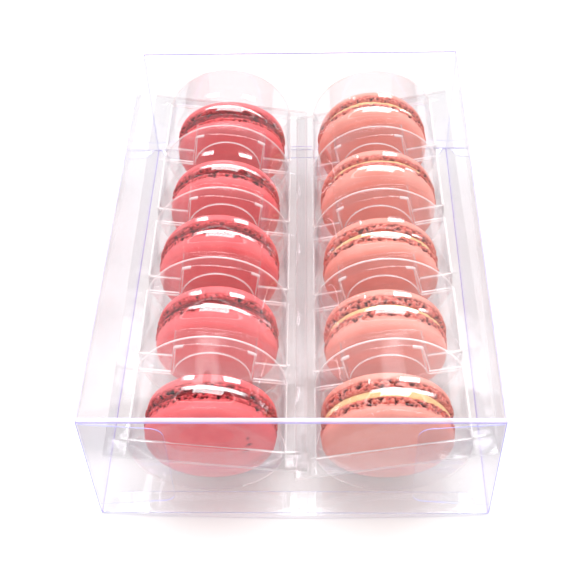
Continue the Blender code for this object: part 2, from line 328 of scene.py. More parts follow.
@dataclass(frozen=True)
class ShellFinish(Finish):
    """Baked macaron shell: a smooth matt dome with fine pores and flecks, on a craggy foot whose darker
    speckle is partly painted shade, with near-black painted shade in its pits and chips.
    """

    dome: Color
    dome_pale: Color
    # The foot colour is partly painted shade among the crags; the pit colour is painted near-black shade.
    foot: Color
    pit_shade: Color
    fleck: Color
    mottle: Grain = Grain(110.0, 3.0, 0.6, (0.35, 0.68))
    crumb_and_shade: Grain = Grain(1100.0, 3.0, 0.7, (0.42, 0.62))
    fleck_scale: float = 900.0
    fleck_range: Range4 = (0.10, 0.17, 0.55, 0.0)
    fleck_scatter: Grain = Grain(420.0, 1.0, 0.5, (0.56, 0.64))
    fine_pores: Grain = Grain(2600.0, 3.0, 0.65)
    coarse_pores: Grain = Grain(500.0)
    coarse_share: float = 1.5
    pore_depth: float = 0.12 * MM
    pore_strength: float = 0.55
    roughness: float = 0.62
    specular: float = 0.35
    scatter: float = 0.12
    scatter_colors: Color = (1.0, 0.35, 0.25)
    scatter_depth: float = 1.2 * MM

    def shader(self, graph: ShaderGraph) -> Node:
        """Add the nodes and return the shader."""
        skin = graph.blend(graph.shown(self.mottle), self.dome, self.dome_pale)
        flecks = graph.add("TexVoronoi", {"Vector": graph.place(), "Scale": self.fleck_scale})
        fleck_share = graph.ramp(flecks.outputs["Distance"], *self.fleck_range)
        fleck_share = graph.math("MULTIPLY", fleck_share, graph.shown(self.fleck_scatter))
        skin = graph.blend(fleck_share, skin, self.fleck)
        # Partly painted shade: a speckle of the foot's darker colour in the skin stands for shade among the
        # crags.
        foot_and_shade_color = graph.blend(graph.shown(self.crumb_and_shade), self.foot, skin)
        foot_share = graph.add("Attribute", attribute_name="foot").outputs["Fac"]
        color = graph.blend(foot_share, skin, foot_and_shade_color)
        # Painted shade: pits and chips are darkened near black where shade falls in them.
        pit_shade_share = graph.add("Attribute", attribute_name="pit_shade").outputs["Fac"]
        color = graph.blend(pit_shade_share, color, self.pit_shade)
        fine, coarse = graph.noise(self.fine_pores), graph.noise(self.coarse_pores)
        height = graph.math("MULTIPLY_ADD", coarse, self.coarse_share, fine)
        bump = graph.bump(height, self.pore_strength, self.pore_depth)
        looks = {
            "Base Color": color,
            "Roughness": self.roughness,
            "Specular IOR Level": self.specular,
            "Subsurface Weight": self.scatter,
            "Subsurface Radius": self.scatter_colors,
            "Subsurface Scale": self.scatter_depth,
            "Normal": bump,
        }
        return graph.add("BsdfPrincipled", looks)


@dataclass(frozen=True)
class FillingFinish(Finish):
    """Cream or jam between the shells, glossier where it is smooth."""

    color: Color
    shade: Color
    roughness: float
    curd: Grain = Grain(600.0, 3.0, 0.6, (0.35, 0.65))
    bumps: Grain = Grain(1400.0)
    bump_strength: float = 0.5
    bump_depth: float = 0.1 * MM

    def shader(self, graph: ShaderGraph) -> Node:
        """Add the nodes and return the shader."""
        color = graph.blend(graph.shown(self.curd), self.color, self.shade)
        bump = graph.bump(graph.noise(self.bumps), self.bump_strength, self.bump_depth)
        looks = {"Base Color": color, "Roughness": self.roughness, "Normal": bump}
        return graph.add("BsdfPrincipled", looks)


@dataclass(frozen=True)
class FloorFinish(Finish):
    """The white floor, which glossy rays see painted dark from a little way in front of the box: a painted
    reflection in the films.
    """

    color: Color
    mirrored: Color
    dark_from: float
    bright_from: float
    roughness: float = 0.9

    def shader(self, graph: ShaderGraph) -> Node:
        """Add the nodes and return the shader."""
        along = graph.axis(graph.place(), "Y")
        # Painted reflection: to glossy rays the floor in front of the box is dark.
        share = graph.ramp(along, self.dark_from, self.bright_from, 1.0, 0.0)
        share = graph.math("MULTIPLY", share, graph.add("LightPath").outputs["Is Glossy Ray"])
        color = graph.blend(share, self.color, self.mirrored)
        return graph.add("BsdfPrincipled", {"Base Color": color, "Roughness": self.roughness})


@dataclass(frozen=True)
class MarkFinish(Finish):
    """The faintly uneven colour of the perforation's marks."""

    color: Color
    shade: Color
    roughness: float
    uneven: Grain = Grain(40.0)

    def shader(self, graph: ShaderGraph) -> Node:
        """Add the nodes and return the shader."""
        color = graph.blend(graph.noise(self.uneven), self.color, self.shade)
        looks = {"Base Color": color, "Roughness": self.roughness}
        return graph.add("BsdfPrincipled", looks)


CARTON_FILM = FilmFinish(
    "clear_carton_film",
    tint=(0.985, 0.984, 0.987),
    slant_tint=(0.92, 0.915, 0.95),
    head_on=0.03,
    head_on_wall=0.03,
    head_on_front_wall=0.07,
    roughness=0.02,
    wave_size=90 * MM,
    wave_height=0.02 * MM,
)
# The trays' slant tints are faintly pink: thicker film at a slant, and partly a painted reflection of the
# macarons.
TRAY_FILM = FilmFinish(
    "clear_tray_film",
    tint=(1.0, 0.998, 0.999),
    slant_tint=(0.85, 0.82, 0.83),
    head_on=0.075,
    head_on_wall=0.05,
    head_on_front_wall=0.05,
    roughness=0.04,
    wave_size=11 * MM,
    wave_height=0.10 * MM,
)
BASE_FILM = replace(
    TRAY_FILM,
    name="clear_base_film",
    slant_tint=(0.88, 0.86, 0.87),
    head_on=0.03,
    head_on_front_wall=0.24,
    roughness=0.05,
)
# Painted highlight: a white-pink strip on the upper part of each end panel's fold stands in for light
# mirrored there; the lavender crease and cut edges are the film's own tint.
PAINTED_FOLD_HIGHLIGHT = EdgeFinish("pale_fold_painted_highlight", (0.96, 0.88, 0.93), 0.55, 30 * MM)
CREASE = EdgeFinish("lavender_crease", (0.50, 0.44, 0.90), 0.75, 30 * MM)
CUT_EDGE = EdgeFinish("lavender_cut_edge", (0.42, 0.44, 0.95), 0.85, 20 * MM)
# Painted highlight: the trays' cut edges are a pale pink-grey strip that stands in for light caught on them.
TRAY_EDGE_PAINTED_HIGHLIGHT = EdgeFinish("tray_cut_edge", (0.80, 0.74, 0.76), 0.55, 10 * MM)
# Painted highlight: white lines on the trays' sharp folds stand in for the lights mirrored there.
TRAY_CREASE_PAINTED_HIGHLIGHT = EdgeFinish("tray_crease_painted_highlight", (0.98, 0.95, 0.96), 0.70, 6 * MM)
PERFORATION = MarkFinish("perforation_marks", (0.50, 0.36, 0.38), (0.62, 0.48, 0.50), 0.4)
# The floor's second colour is a painted dark reflection, seen only in the films.
FLOOR = FloorFinish("white_floor", (0.67, 0.67, 0.67), (0.16, 0.16, 0.18), -111 * MM, -103 * MM)
# The shells' foot colours are partly painted shade, and their pit colours are painted near-black shade.
RED_SHELL = ShellFinish(
    "coral_red_shell",
    dome=(0.78, 0.105, 0.118),
    dome_pale=(0.84, 0.150, 0.160),
    foot=(0.50, 0.022, 0.030),
    pit_shade=(0.030, 0.001, 0.002),
    fleck=(0.50, 0.04, 0.05),
)
PINK_SHELL = ShellFinish(
    "peach_pink_shell",
    dome=(0.82, 0.285, 0.228),
    dome_pale=(0.87, 0.350, 0.288),
    foot=(0.58, 0.085, 0.060),
    pit_shade=(0.060, 0.003, 0.003),
    fleck=(0.62, 0.16, 0.11),
)
DARK_FILLING = FillingFinish("dark_red_filling", (0.34, 0.012, 0.020), (0.045, 0.002, 0.003), 0.85)
CREAM_FILLING = FillingFinish("pale_yellow_filling", (0.76, 0.46, 0.21), (0.82, 0.55, 0.28), 0.6)


BIG_ROUNDING = 2.0 * MM
BIG_REACH, SMALL_REACH, SUPPORT_REACH = 0.8, 0.45, 0.04


def arc(centre: Point2, radius: float, start: float, end: float, steps: int) -> list[Point2]:
    """Return the points of an arc, both ends included.

    Args:
        centre: The arc's centre.
        radius: Its radius.
        start: The angle of its first point.
        end: The angle of its last point.
        steps: How many parts it is cut into.

    Returns:
        The points.
    """
    angles = np.linspace(start, end, steps + 1)
    return [(centre[0] + radius * cos(a), centre[1] + radius * sin(a)) for a in angles]


def soften(points: Sequence[Point2], radii: Sequence[float], steps: int, support: float) -> list[Point2]:
    """Round the corners of a path, each into the same number of points.

    A rounding takes up at most a share of the flats beside it, and a point before and after it keeps
    their shading flat.

    Args:
        points: The path's corners, both ends included.
        radii: How far from each inner corner its rounding starts.
        steps: How many parts each rounding is cut into.
        support: How far the points beside a rounding are from it.

    Returns:
        The rounded path.
    """
    path = [points[0]]
    corners = zip(points, points[1:], points[2:], radii)
    for before, corner, after, radius in corners:
        middle = Vector(corner)
        back, forth = Vector(before) - middle, Vector(after) - middle
        reach = BIG_REACH if radius > BIG_ROUNDING else SMALL_REACH
        start = middle + back.normalized() * min(radius, back.length * reach)
        end = middle + forth.normalized() * min(radius, forth.length * reach)
        spots = [start + back.normalized() * min(support, back.length * SUPPORT_REACH)]
        for share in np.linspace(0.0, 1.0, steps + 1):
            spots.append(start * (1 - share) ** 2 + middle * 2 * share * (1 - share) + end * share**2)
        spots.append(end + forth.normalized() * min(support, forth.length * SUPPORT_REACH))
        path += [(spot.x, spot.y) for spot in spots]
    path.append(points[-1])
    return path


def add_object(name: str, data: bpy.types.ID) -> Object:
    """Add an object with its data to the scene, at the origin."""
    obj = bpy.data.objects.new(name, data)
    bpy.context.scene.collection.objects.link(obj)
    return obj


def add_piece(name: str, bm: BMesh, materials: Sequence[Material]) -> Object:
    """Turn a bmesh into a named object at the origin.

    Args:
        name: The piece's name.
        bm: Its mesh, which is freed.
        materials: Its materials, in slot order.

    Returns:
        The object.
    """
    mesh = bpy.data.meshes.new(name)
    bm.to_mesh(mesh)
    bm.free()
    for material in materials:
        mesh.materials.append(material)
    return add_object(name, mesh)


def plain_mesh(obj: Object) -> Mesh:
    """Return what an object's modifiers make of it, as a plain mesh."""
    bpy.context.view_layer.update()
    evaluated = obj.evaluated_get(bpy.context.evaluated_depsgraph_get())
    return bpy.data.meshes.new_from_object(evaluated)


def thicken(obj: Object, thickness: float, offset: float, smooth: float) -> None:
    """Give a sheet its thickness, with a rim in the next material slot and sharp edges round it.

    Args:
        obj: The sheet.
        thickness: How thick it becomes.
        offset: 1 grows along the normals and -1 against them.
        smooth: The largest angle that shades as one curve.
    """
    wall = obj.modifiers.new("Wall", "SOLIDIFY")
    wall.thickness = thickness
    wall.offset = offset
    wall.use_even_offset = True
    wall.use_quality_normals = True
    wall.material_offset_rim = 1
    sheet = obj.data
    obj.data = plain_mesh(obj)
    obj.modifiers.clear()
    bpy.data.meshes.remove(sheet)
    obj.data.name = obj.name
    obj.data.shade_smooth()
    obj.data.set_sharp_from_angle(angle=smooth)


def keep(obj: Object, body: str, slot: str, *nodes: str) -> None:
    """Let a piece ride on its body and stand for its solids.

    Args:
        obj: The piece.
        body: The body that it rides on.
        slot: The record's material slot; not used.
        nodes: The solids that it replaces.
    """
    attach(obj, body)
    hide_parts(*nodes)
    faces = len(obj.data.polygons)
    LOG.info("%s rides on %s, %d faces", obj.name, body, faces)


@dataclass
class Carton:
    """The folded film carton: a sleeve, an end flap at each end and four dust flaps."""

    width: float = 120.0 * MM
    length: float = 173.0 * MM
    height: float = 49.0 * MM
    film: float = 0.3 * MM
    corner_radius: float = 1.0 * MM
    corner_steps: int = 5
    side_end_inset: float = 0.35 * MM
    hinge_inset: float = 1.25 * MM
    hinge_gap: float = 0.02 * MM
    fold_radius: float = 1.1 * MM
    fold_steps: int = 6
    foot_radius: float = 0.45 * MM
    foot_steps: int = 3
    foot_bow: float = 1.6 * MM
    foot_height: float = 0.15 * MM
    side_gap: float = 0.3 * MM
    panel_strips: int = 48
    panel_rows: int = 12
    tuck_reach: float = 7.1 * MM
    tuck_inset: float = 1.5 * MM
    tuck_corner: float = 6.0 * MM
    tuck_height: float = 0.75 * MM
    tuck_slope: float = 0.07
    tuck_rows: int = 5
    edge_band: float = 0.28 * MM
    dust_reach: float = 24.0 * MM
    dust_low: float = 4.5 * MM
    dust_high: float = 46.6 * MM
    dust_taper: float = 2.0 * MM
    dust_corner: float = 4.0 * MM
    dust_steps: int = 8
    support: float = 0.4 * MM
    smooth: float = radians(30)

    def build(self) -> None:
        """Build every piece of the carton."""
        self.materials = [CARTON_FILM.build(), CUT_EDGE.build(), PAINTED_FOLD_HIGHLIGHT.build(), CREASE.build()]
        self.build_sleeve()
        for end in End:
            self.build_end_flap(end)
            for side in Side:
                self.build_dust_flap(end, side)

    def outline(self) -> list[tuple[Point2, bool]]:
        """Return the sleeve's outer outline in x and z, with whether the next face is a crease line."""
        half, radius = self.width / 2, self.corner_radius
        right, left = half - radius, radius - half
        low, high = radius, self.height - radius
        points = []
        for quarter, centre in enumerate(((right, low), (right, high), (left, high), (left, low))):
            start = (quarter - 1) * pi / 2
            corner = arc(centre, radius, start, start + pi / 2, self.corner_steps)
            (x, z), (end_x, end_z) = corner[0], corner[-1]
            points.append(((x + sin(start) * self.support, z - cos(start) * self.support), False))
            points += [(p, i == self.corner_steps // 2) for i, p in enumerate(corner)]
            points.append(((end_x - cos(start) * self.support, end_z - sin(start) * self.support), False))
        return points

    def build_sleeve(self) -> None:
        """Build the tube of top, bottom and side panels."""
        outline = self.outline()
        bm = bmesh.new()
        rings = []
        for end in End:
            ring = []
            for (x, z), _ in outline:
                over_fold = z > self.height - self.corner_radius * 0.5
                inset = self.hinge_inset + self.hinge_gap if over_fold else self.side_end_inset
                ring.append(bm.verts.new((x, end.value * (self.length / 2 - inset), z)))
            rings.append(ring)
        front, back = rings
        for i, (_, is_crease) in enumerate(outline):
            j = (i + 1) % len(outline)
            face = bm.faces.new((front[i], front[j], back[j], back[i]))
            face.material_index = CartonSlot.CREASE if is_crease else CartonSlot.FILM
        bmesh.ops.recalc_face_normals(bm, faces=bm.faces)
        obj = add_piece("carton_sleeve_film", bm, self.materials)
        thicken(obj, self.film, -1.0, self.smooth)
        keep(obj, "root", "carton_film", "carton_sleeve")

    def bow(self, x: float) -> float:
        """Return how far the foot of an end panel stands forward at this place across it."""
        return self.foot_bow * (1.0 - (x / (self.width / 2)) ** 2)

    def panel_path(self, x: float) -> list[Point2]:
        """Return the end panel's path in y and z, from its hinge round its fold to its foot."""
        front = -self.length / 2
        top = self.height
        radius = self.fold_radius
        points = [(front + self.hinge_inset, top)]
        points += arc((front + radius, top - radius), radius, pi / 2, pi, self.fold_steps)
        foot_y = front - self.bow(x)
        foot_z = self.foot_height + self.foot_radius
        beside = self.support / (top - radius)
        for share in (beside, *np.linspace(0.0, 1.0, self.panel_rows + 1)[1:-1], 1.0 - beside, 1.0):
            z = (top - radius) * (1 - share) + foot_z * share
            points.append((front * (1 - share) + foot_y * share, z))
        centre = (foot_y + self.foot_radius, foot_z)
        return points + arc(centre, self.foot_radius, pi, 1.5 * pi, self.foot_steps)[1:]

    def tuck_depth(self, x: float) -> float:
        """Return how far the tuck flap reaches in at this place across it, with its round corners."""
        half = self.width / 2 - self.tuck_inset
        past = abs(x) - (half - self.tuck_corner)
        if past <= 0:
            return self.tuck_reach
        drop = self.tuck_corner - sqrt(max(0.0, self.tuck_corner**2 - past**2))
        return self.tuck_reach - drop

    def build_end_flap(self, end: End) -> None:
        """Build one end panel with its tuck flap, as the one sheet that they are."""
        half = self.width / 2 - self.side_gap
        tuck_half = self.width / 2 - self.tuck_inset
        bm = bmesh.new()
        columns, tucks = [], []
        for x in (-half, *np.linspace(-tuck_half, tuck_half, self.panel_strips + 1), half):
            columns.append([bm.verts.new((x, y, z)) for y, z in self.panel_path(x)])
            if abs(x) < half:
                tucks.append(self.tuck_column(bm, x, columns[-1][-1]))
        rows = len(columns[0])
        for left, right in zip(columns, columns[1:]):
            for j in range(rows - 1):
                face = bm.faces.new((left[j], left[j + 1], right[j + 1], right[j]))
                face.material_index = self.panel_slot(j, rows)
        for left, right in zip(tucks, tucks[1:]):
            for j in range(self.tuck_rows):
                bm.faces.new((left[j], left[j + 1], right[j + 1], right[j]))
        bmesh.ops.recalc_face_normals(bm, faces=bm.faces)
        foremost = min(bm.faces, key=lambda f: f.calc_center_median().y)
        if foremost.normal.y > 0:
            bmesh.ops.reverse_faces(bm, faces=bm.faces)
        if end is End.BACK:
            bmesh.ops.transform(bm, matrix=Matrix.Rotation(pi, 4, "Z"), verts=bm.verts)
        obj = add_piece(f"{end.word}_end_flap_film", bm, self.materials)
        thicken(obj, self.film, -1.0, self.smooth)
        keep(obj, f"{end.word}_end", "carton_film", f"{end.word}_panel", f"{end.word}_tuck_flap")

    def panel_slot(self, row: int, rows: int) -> CartonSlot:
        """Return the material slot of one of an end panel's rows of faces, counted from its hinge."""
        fold_end = self.fold_steps + 1
        # The upper rows of the fold get the painted highlight, the rest of the fold and the foot the lavender
        # crease.
        if row < fold_end - 2:
            return CartonSlot.GLOW
        if row < fold_end or row == rows - self.foot_steps:
            return CartonSlot.CREASE
        return CartonSlot.FILM

    def tuck_column(self, bm: BMesh, x: float, foot: BMVert) -> list[BMVert]:
        """Add one line of the tuck flap, from the foot of the panel to its free edge."""
        line = [foot]
        start_y, start_z = foot.co.y, foot.co.z
        end_y = -self.length / 2 + self.tuck_depth(x)
        end_z = self.tuck_height + self.tuck_slope * (end_y + self.length / 2 + self.foot_bow)
        for share in np.linspace(0.0, 1.0, self.tuck_rows + 1)[1:]:
            spot = (x, start_y * (1 - share) + end_y * share, start_z * (1 - share) + end_z * share)
            line.append(bm.verts.new(spot))
        return line

    def build_dust_flap(self, end: End, side: Side) -> None:
        """Build one dust flap, folded in from a side panel behind the end panel."""
        near = self.width / 2 - self.film - self.side_gap
        far = self.width / 2 - self.dust_reach
        corner = self.dust_corner
        high, low = self.dust_high - self.dust_taper, self.dust_low + self.dust_taper
        outline = [(near, self.dust_low), (near, self.dust_high)]
        outline += arc((far + corner, high - corner), corner, pi / 2, pi, self.dust_steps)
        outline += arc((far + corner, low + corner), corner, pi, 1.5 * pi, self.dust_steps)
        y = end.value * (self.length / 2 - self.film - self.side_gap)
        bm = bmesh.new()
        face = bm.faces.new([bm.verts.new((side.value * x, y, z)) for x, z in outline])
        face.normal_update()
        if face.normal.y * end.value < 0:
            face.normal_flip()
        band = bmesh.ops.inset_region(bm, faces=[face], thickness=self.edge_band)["faces"]
        for strip in band:
            strip.material_index = CartonSlot.CUT_EDGE
        name = f"{end.word}_{side.word}_dust_flap"
        obj = add_piece(f"{name}_film", bm, self.materials)
        thicken(obj, self.film, -1.0, self.smooth)
        keep(obj, "root", "carton_film", name)


class LidCorner(IntEnum):
    """The corners of a lid's slot that its crease rule names, counted along the tray."""

    NEAR_FOOT = 0
    STEP_END = 7
    FAR_FOOT = 8


CORNERS = {TrayHalf.BASE: 4, TrayHalf.LID: 9}
SOFT_CORNERS = {TrayHalf.BASE: (2,), TrayHalf.LID: (1, 2, 3, 4)}


@dataclass(frozen=True)
class TrayPlace:
    """Where one tray lies in the carton, and how deep its base is."""

    side: Side
    centre_x: float
    centre_z: float
    roll: float
    turn: float
    base_depth: float

    def matrix(self) -> Matrix:
        """Return the tray's place, from its own frame at the middle of its flange."""
        spot = Matrix.Translation((self.centre_x, 0.0, self.centre_z))
        return spot @ Matrix.Rotation(self.turn, 4, "Z") @ Matrix.Rotation(self.roll, 4, "Y")


LEFT_PLACE = TrayPlace(Side.LEFT, -26.3 * MM, 25.4 * MM, radians(9.2), radians(0.6), 24.0 * MM)
RIGHT_PLACE = TrayPlace(Side.RIGHT, 28.9 * MM, 24.3 * MM, radians(-12.3), radians(0.8), 23.1 * MM)


@dataclass
class Tray:
    """One clear tray: a base and a lid of five round-walled slots, with their flanges together.

    Depths along the tray and heights over its flange are in the tray's own frame.
    """

    place: TrayPlace
    box_length: float = 173.0 * MM
    slots: int = 5
    pitch: float = 33.1 * MM
    front: float = 1.5 * MM
    back: float = 171.0 * MM
    width: float = 60.2 * MM
    film: float = 0.35 * MM
    part_line: float = 0.15 * MM
    flange_edge: float = 1.5 * MM
    weld: float = 0.004 * MM
    slot_front: float = 7.95 * MM
    slot_back: float = 33.55 * MM
    slot_half_width: float = 23.35 * MM
    big_fold: float = 7.3 * MM
    sharp_fold: float = 0.42 * MM
    sharp_share: float = 0.3
    big_share: float = 0.6
    foot_curve: tuple[Point2, ...] = ((0.15, 0.35), (0.45, 0.08), (1.0, 0.0))
    foot_from: Point2 = (0.9, 0.8)
    upright_share: float = 0.5
    fold_steps: int = 6
    support: float = 0.3 * MM
    lid_height: float = 20.0 * MM
    bridge_half_width: float = 12.4 * MM
    bridge_corner: float = 2.6 * MM
    bridge_corner_cuts: tuple[float, ...] = (1.0, 0.75, 0.5, 0.25, 0.0)
    bridge_side: float = 0.5 * MM
    base_fold_from: float = 1.0 * MM
    bridge_line: float = 0.35 * MM
    edge_play: float = 0.05 * MM
    corner_play: float = 0.01 * MM
    bridge_height: float = 14.8 * MM
    bridge_share: float = 0.75
    arch_radius: float = 12.0 * MM
    arch_drop: float = 0.4 * MM
    arch_step: float = 0.6 * MM
    wall_steps: int = 22
    smooth: float = radians(50)
    outer_facet: Point2 = (6.0 * MM, 11.4 * MM)
    inner_facet: Point2 = (-7.8 * MM, -3.0 * MM)
    facet_start: float = 9.3 * MM
    facet_depth: float = 1.7 * MM
    facet_return: float = 0.6 * MM
    facet_side: float = 0.15 * MM
    facet_fold_share: float = 0.5
    facets_from: float = 10.0 * MM
    facet_tilt: float = radians(6.2)
    facet_tilt_step: float = radians(1.75)
    perforation_inset: float = 0.6 * MM
    perforation_rise: float = 0.03 * MM
    perforation_skip: int = 2
    perforation_step: float = 0.95 * MM
    perforation_size: tuple[float, float, float] = (0.22 * MM, 0.42 * MM, 0.10 * MM)

    def build(self, materials: Sequence[Material], marks: Material) -> None:
        """Build both halves and the perforated hinge line."""
        for half, film in zip(TrayHalf, (BASE_FILM, TRAY_FILM)):
            self.build_half(half, [film.build(), *materials])
        self.build_perforation(marks)

    def height(self, half: TrayHalf) -> float:
        """Return how far a half's slots stand out from the flange."""
        return self.lid_height if half is TrayHalf.LID else self.place.base_depth

    def wall_section(self, height: float) -> list[Point2]:
        """Return the section across a slot, from its middle out to the flange's edge.

        Args:
            height: The wall's height in the middle of the slot.

        Returns:
            Places across the tray, each with its wall's height.
        """
        half, foot = self.slot_half_width, self.sharp_fold
        section = []
        if height > half:
            radius, lift = half, half - height
            section.append((half, -lift * self.upright_share))
        else:
            radius = (half**2 + height**2) / (2 * height)
            lift = radius - height
        start = asin(max(0.0, lift) / radius)
        for angle in np.linspace(start, pi / 2, self.wall_steps + 1):
            section.append((radius * cos(angle), radius * sin(angle) - lift))
        places = [self.bridge_half_width - self.bridge_corner * cut for cut in self.bridge_corner_cuts]
        places += [self.bridge_half_width - self.bridge_line, self.bridge_half_width + self.bridge_side]
        for edge in (*self.outer_facet, *self.inner_facet):
            places += [abs(edge) - self.facet_side, abs(edge) + self.facet_side]
        section += [(x, sqrt(radius**2 - x**2) - lift) for x in places]
        section = sorted((max(0.0, x), z) for x, z in section)
        out, up = self.foot_from
        section = [(x, max(z, 0.0)) for x, z in section if z > foot * up or x < half * out]
        section += [(half + foot * out, foot * up) for out, up in self.foot_curve]
        return section + [(self.width / 2 - self.flange_edge, 0.0), (self.width / 2, 0.0)]

    def bridge(self, x: float) -> float:
        """Return the height of the bridge between two slots: a rectangle with round corners."""
        past = abs(x) - (self.bridge_half_width - self.bridge_corner)
        if past <= 0:
            return self.bridge_height
        if past > self.bridge_corner + self.corner_play:
            return 0.0
        rise = sqrt(max(0.0, self.bridge_corner**2 - past**2))
        return self.bridge_height - self.bridge_corner + rise

    def arch(self, x: float) -> float:
        """Return the height of the round step between a slot's back wall and the bridge."""
        if abs(x) >= self.arch_radius:
            return 0.0
        return max(0.0, sqrt(self.arch_radius**2 - x**2) - self.arch_drop)

    def rounding(self, height: float) -> tuple[float, float]:
        """Return how far the sharp folds and the big ones reach, where the wall is this high."""
        return min(self.sharp_fold, height * self.sharp_share), min(self.big_fold, height * self.big_share)

    def lid_path(self, x: float, crown: float) -> list[Point2]:
        """Return the lid's path along the tray at one place across it."""
        low, big = self.rounding(crown)
        slight = low * self.facet_fold_share
        bridge, round_step = (min(form(x), crown * self.bridge_share) for form in (self.bridge, self.arch))
        points, radii = [(self.front, 0.0)], []
        for k in range(self.slots):
            start = self.slot_front + k * self.pitch
            end = self.slot_back + k * self.pitch
            last = k == self.slots - 1
            before = 0.0 if k == 0 else bridge
            after, arch = (0.0, 0.0) if last else (bridge, round_step)
            step = end + self.arch_step
            rise = self.facet_rise(k, x) if crown > self.facets_from else 0.0
            foot = start + self.facet_start
            top = foot + self.facet_depth
            points += [(start, before), (start, crown), (foot, crown), (top, crown + rise)]
            points += [(top + self.facet_return, crown), (end, crown)]
            points += [(end, arch), (step, arch), (step, after)]
            radii += [low, big, slight, slight, slight, low, low, low, low]
        points.append((self.back, 0.0))
        return soften(points, radii, self.fold_steps, self.support)

    def facet_rise(self, slot: int, x: float) -> float:
        """Return how far a slot's top rises here, on its two small facets."""
        outward = x * self.place.side.value
        facets = (self.outer_facet, self.inner_facet)
        if not any(low < outward < high for low, high in facets):
            return 0.0
        return self.facet_depth * tan(self.facet_tilt + slot * self.facet_tilt_step)

    def base_path(self, x: float, depth: float) -> list[Point2]:
        """Return the base's path along the tray at one place across it."""
        low, big = self.rounding(depth)
        points, radii = [(self.front, 0.0)], []
        for k in range(self.slots):
            start = self.slot_front + k * self.pitch
            end = self.slot_back + k * self.pitch
            points += [(start, 0.0), (start, -depth), (end, -depth), (end, 0.0)]
            radii += [low, low, big, low]
        points.append((self.back, 0.0))
        return soften(points, radii, self.fold_steps, self.support)

    def build_half(self, half: TrayHalf, materials: Sequence[Material]) -> None:
        """Build one half as a thin sheet, thickened away from the macarons."""
        path = self.lid_path if half is TrayHalf.LID else self.base_path
        right = self.wall_section(self.height(half))
        section = [(-x, z) for x, z in reversed(right)] + [p for p in right if p[0] > 0]
        bm = bmesh.new()
        grid = [[bm.verts.new((x, y, z)) for y, z in path(x, crown)] for x, crown in section]
        for column, (left_line, right_line) in enumerate(zip(grid, grid[1:])):
            crowns = (section[column][1], section[column + 1][1])
            outer = max(abs(section[column][0]), abs(section[column + 1][0]))
            for row in range(len(left_line) - 1):
                corners = (left_line[row], right_line[row], right_line[row + 1], left_line[row + 1])
                face = bm.faces.new(corners if half is TrayHalf.LID else reversed(corners))
                # Faces in the sharp folds get the painted highlight lines.
                gets_painted_highlight = self.gets_painted_highlight(half, row, crowns, outer)
                face.material_index = TraySlot.CREASE if gets_painted_highlight else TraySlot.FILM
        bmesh.ops.remove_doubles(bm, verts=bm.verts, dist=self.weld)
        lift = Matrix.Translation((0.0, -self.box_length / 2, half.value * self.part_line))
        bmesh.ops.transform(bm, matrix=self.place.matrix() @ lift, verts=bm.verts)
        name = f"{self.place.side.word}_tray_{half.word}"
        obj = add_piece(f"{name}_film", bm, materials)
        thicken(obj, self.film, 1.0, self.smooth)
        keep(obj, "root", "tray_film", name)

    def gets_painted_highlight(self, half: TrayHalf, row: int, crowns: Point2, outer: float) -> bool:
        """Tell whether a face of a half lies in one of its sharp folds, which carry painted highlight lines.

        The lid's far foot is the bridge's near edge, where a bridge follows.

        Args:
            half: The half.
            row: The face's row along the tray.
            crowns: The walls' heights on its two sides.
            outer: How far its outer side is from the tray's middle.

        Returns:
            Whether it does.
        """
        corner, step = divmod(row - 1, self.fold_steps + 3)
        if row == 0 or corner >= CORNERS[half] * self.slots:
            return False
        slot, place = divmod(corner, CORNERS[half])
        in_fold = 0 < step <= self.fold_steps and place not in SOFT_CORNERS[half]
        after_fold = step == self.fold_steps + 2
        if half is TrayHalf.BASE:
            folded_from = self.bridge_half_width + self.base_fold_from
            return in_fold and min(crowns) > self.sharp_fold and outer >= folded_from
        bridged = slot < self.slots - 1
        if place == LidCorner.STEP_END:
            if after_fold and bridged and abs(outer - self.bridge_half_width) < self.edge_play:
                return True
            if outer > self.arch_radius:
                return False
        bridge_flat = self.bridge_half_width - self.bridge_corner + self.edge_play
        if place == LidCorner.FAR_FOOT and bridged and outer < bridge_flat:
            return False
        if place == LidCorner.NEAR_FOOT and slot > 0 and outer < self.bridge_half_width + self.edge_play:
            return False
        if min(crowns) > self.sharp_fold:
            return in_fold
        return not (place == LidCorner.FAR_FOOT and after_fold) and max(crowns) > 0.0

    def build_perforation(self, marks: Material) -> None:
        """Build the row of perforation marks along the hinge, by Geometry Nodes."""
        toward_middle = -self.place.side.value
        x = toward_middle * (self.width / 2 - self.perforation_inset)
        z = self.part_line + self.film + self.perforation_rise
        first = self.front + self.perforation_skip * self.perforation_step - self.box_length / 2
        count = int((self.back - self.front) / self.perforation_step) - 2 * self.perforation_skip
        tree, sockets = perforation_tree(marks)
        mesh = bpy.data.meshes.new("perforation")
        obj = add_object(f"{self.place.side.word}_tray_perforation", mesh)
        row = obj.modifiers.new("Row", "NODES")
        row.node_group = tree
        row[sockets["Start"]] = (x, first, z)
        row[sockets["Step"]] = (0.0, self.perforation_step, 0.0)
        row[sockets["Size"]] = self.perforation_size
        row[sockets["Count"]] = count
        obj.data = plain_mesh(obj)
        obj.modifiers.clear()
        obj.data.transform(self.place.matrix())
        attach(obj, "root")
        LOG.info("%s has %d marks", obj.name, count)


